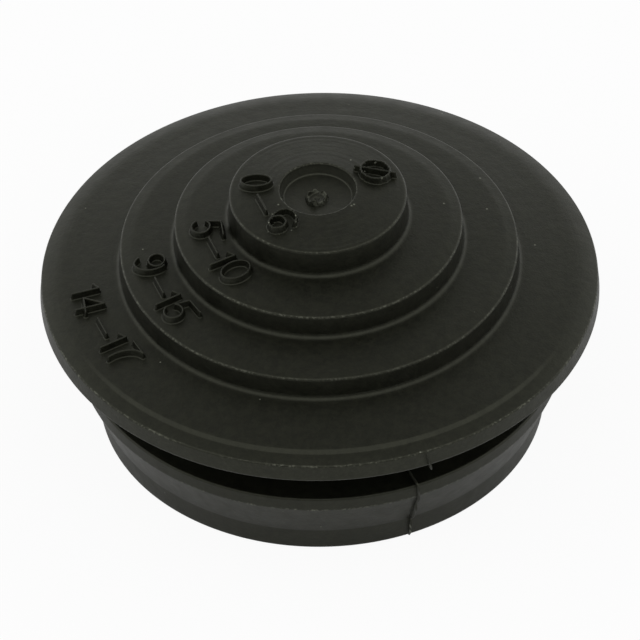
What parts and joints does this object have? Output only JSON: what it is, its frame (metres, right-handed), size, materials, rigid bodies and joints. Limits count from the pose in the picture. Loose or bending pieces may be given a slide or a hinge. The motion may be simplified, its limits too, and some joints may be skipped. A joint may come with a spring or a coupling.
{
  "type": "stepped cable grommet",
  "caption": "Round stepped blind grommet in black rubber: a grooved neck with a barb, a wide flange, and hollow steps up to a thin membrane for a cable.",
  "frame": {"origin": "middle of the bottom rim, on the grommet's axis, at the height of the surface that it stands on", "axes": "+Z along the axis, from the barb to the steps; +X and +Y in the plane of the bottom rim; the picture is taken from -Y"},
  "size_m": [0.0262, 0.0262, 0.0129],
  "materials": {
    "black_rubber": "matt moulded rubber with a slight sheen and a little dust"
  },
  "bodies": {
    "root": {"grommet_body": "black_rubber"}
  },
  "joints": []
}
